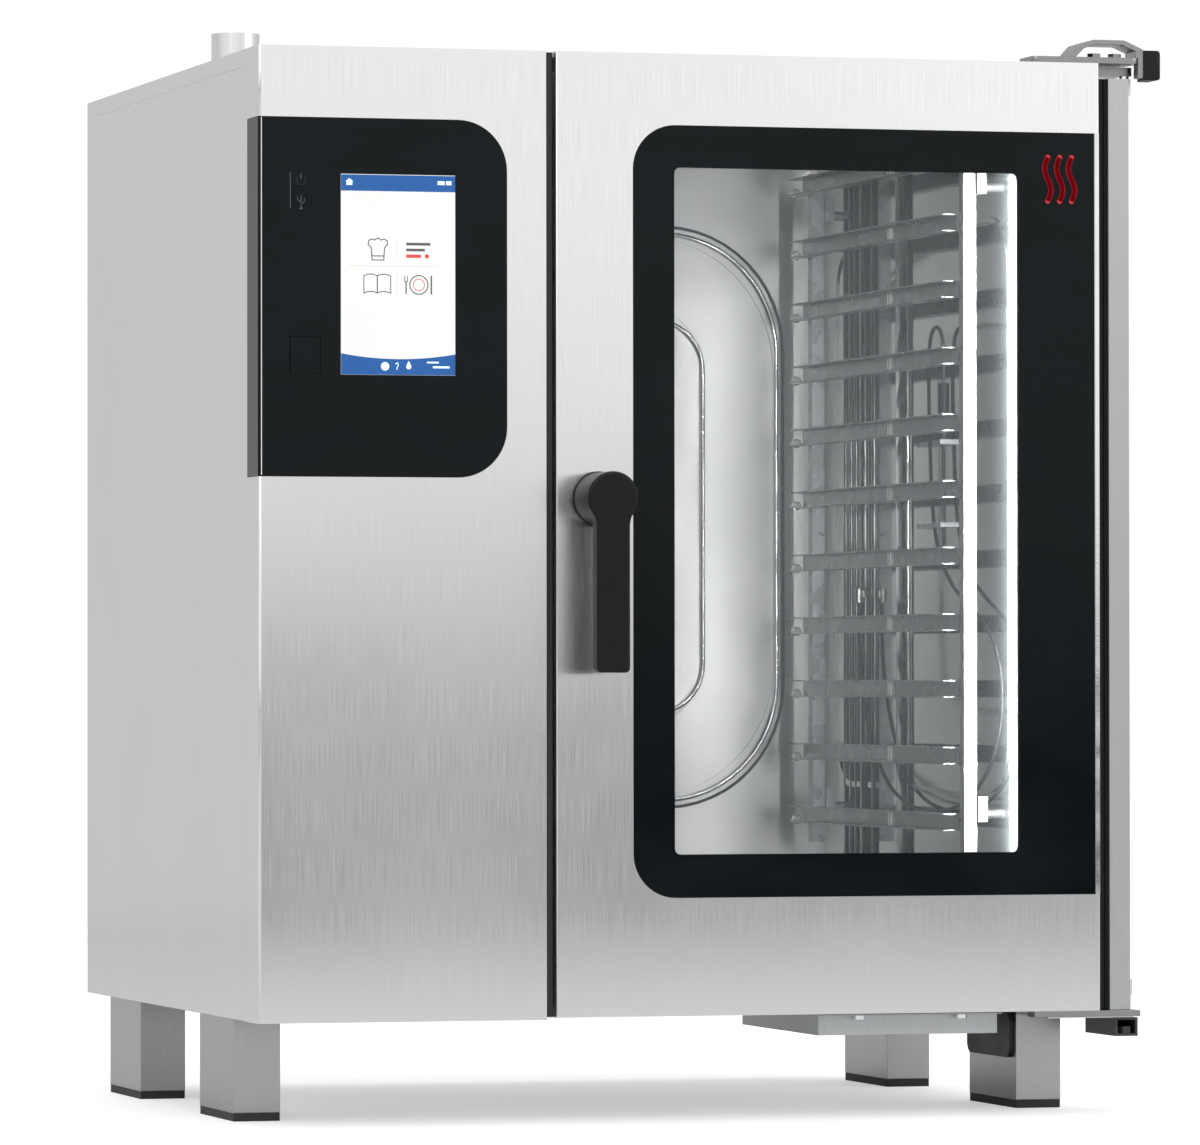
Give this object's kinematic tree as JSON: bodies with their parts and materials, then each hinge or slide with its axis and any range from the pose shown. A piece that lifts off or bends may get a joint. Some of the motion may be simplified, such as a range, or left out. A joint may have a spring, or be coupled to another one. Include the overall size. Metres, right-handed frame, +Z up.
{
  "type": "combi steamer oven",
  "caption": "Countertop combi steamer with a glazed door that turns and slides back, a turn handle, a side control panel, hang-in tray racks and four legs.",
  "frame": {"origin": "on the floor under the middle of the bounding box", "axes": "+Z up, the front faces -Y, +X to the right as seen from the front"},
  "size_m": [0.938, 0.856, 1.093],
  "materials": {
    "brushed_stainless": "vertical brushed grain",
    "satin_stainless": "fine satin",
    "chamber_stainless": "polished",
    "chrome": "mirror polished",
    "galvanised": "spangled zinc",
    "column_grey": "satin light grey",
    "black_glass": "gloss black",
    "clear_glass": "clear",
    "screen_glass": "gloss, lit",
    "black_plastic": "matt",
    "handle_plastic": "satin gloss",
    "dark_steel": "matt dark",
    "gasket_rubber": "matt",
    "silicone_lead": "matt",
    "mineral_wool": "fibrous",
    "module_grey": "matt",
    "cast_aluminium": "cast",
    "brass": "machined"
  },
  "bodies": {
    "cabinet": {"legs": "satin_stainless", "foot_pads": "gasket_rubber", "base_pan": "galvanised", "leg_cover": "black_plastic", "underside_box": "galvanised", "underside_box_bolts": "chrome", "left_side_panel": "brushed_stainless", "right_side_panel": "brushed_stainless", "top_cover": "brushed_stainless", "vent_pipes": "satin_stainless", "rear_panel": "galvanised", "water_inlets": "brass", "cable_gland": "black_plastic", "control_panel": "brushed_stainless", "control_glass": "black_glass", "touch_screen": "screen_glass", "display_module": "module_grey", "usb_socket": "black_plastic", "front_frame": "satin_stainless", "cavity_liner": "chamber_stainless", "cavity_insulation": "mineral_wool", "door_gasket": "gasket_rubber", "compartment_wall": "galvanised", "suction_panel": "chamber_stainless", "fan_motor": "cast_aluminium", "heater_rings": "dark_steel", "drain_sieve": "satin_stainless", "drain_pipe": "satin_stainless", "core_probe_cable": "silicone_lead", "core_probe": "handle_plastic", "chamber_fittings": "satin_stainless", "lead_gland": "satin_stainless", "top_hinge_arm": "satin_stainless", "bottom_hinge_arm": "satin_stainless", "bottom_hinge_channel": "dark_steel"},
    "door_swivel": {"guide_shoes": "chrome"},
    "door": {"door_skin": "brushed_stainless", "door_subframe": "cast_aluminium", "door_pan": "satin_stainless", "door_glass_border": "black_glass", "window_pane": "clear_glass", "inner_pane": "clear_glass", "inner_pane_clips": "black_plastic", "glass_trim": "chrome", "hinge_column": "column_grey", "column_seal": "black_plastic", "top_hinge_plate": "satin_stainless", "bottom_hinge_plate": "satin_stainless", "hinge_bow": "chrome", "bow_end_cap": "black_plastic", "guide_rails": "cast_aluminium", "handle_rose": "handle_plastic", "latch_bolt": "satin_stainless"},
    "handle": {"handle_grip": "handle_plastic", "handle_spindle": "chrome"},
    "usb_cover": {"usb_flap": "handle_plastic"},
    "fan": {"fan_wheel": "satin_stainless", "fan_shaft": "chrome"},
    "rack_right": {"right_rack": "satin_stainless"},
    "rack_left": {"left_rack": "satin_stainless"}
  },
  "joints": [
    {"name": "door_swing", "type": "hinge", "parent": "cabinet", "child": "door_swivel", "pos_m": [0.439, -0.334, 0.576], "axis": [0, 0, 1], "range_deg": [0, 90]},
    {"name": "door_slide", "type": "slide", "parent": "door_swivel", "child": "door", "axis": [1, 0, 0], "range_m": [0, 0.48]},
    {"name": "handle_turn", "type": "hinge", "parent": "door", "child": "handle", "pos_m": [-0.126, -0.394, 0.6157], "axis": [0, 1, 0], "range_deg": [0, 180]},
    {"name": "usb_flap_hinge", "type": "hinge", "parent": "cabinet", "child": "usb_cover", "pos_m": [-0.43575, -0.36375, 0.755], "axis": [0, 0, -1], "range_deg": [0, 95]},
    {"name": "fan_spin", "type": "hinge", "parent": "cabinet", "child": "fan", "pos_m": [-0.114, 0.036, 0.606], "axis": [1, 0, 0], "continuous": true},
    {"name": "left_rack_lift", "type": "slide", "parent": "cabinet", "child": "rack_left", "axis": [0, 0, 1], "range_m": [0, 0.012]},
    {"name": "right_rack_lift", "type": "slide", "parent": "cabinet", "child": "rack_right", "axis": [0, 0, 1], "range_m": [0, 0.012]}
  ]
}
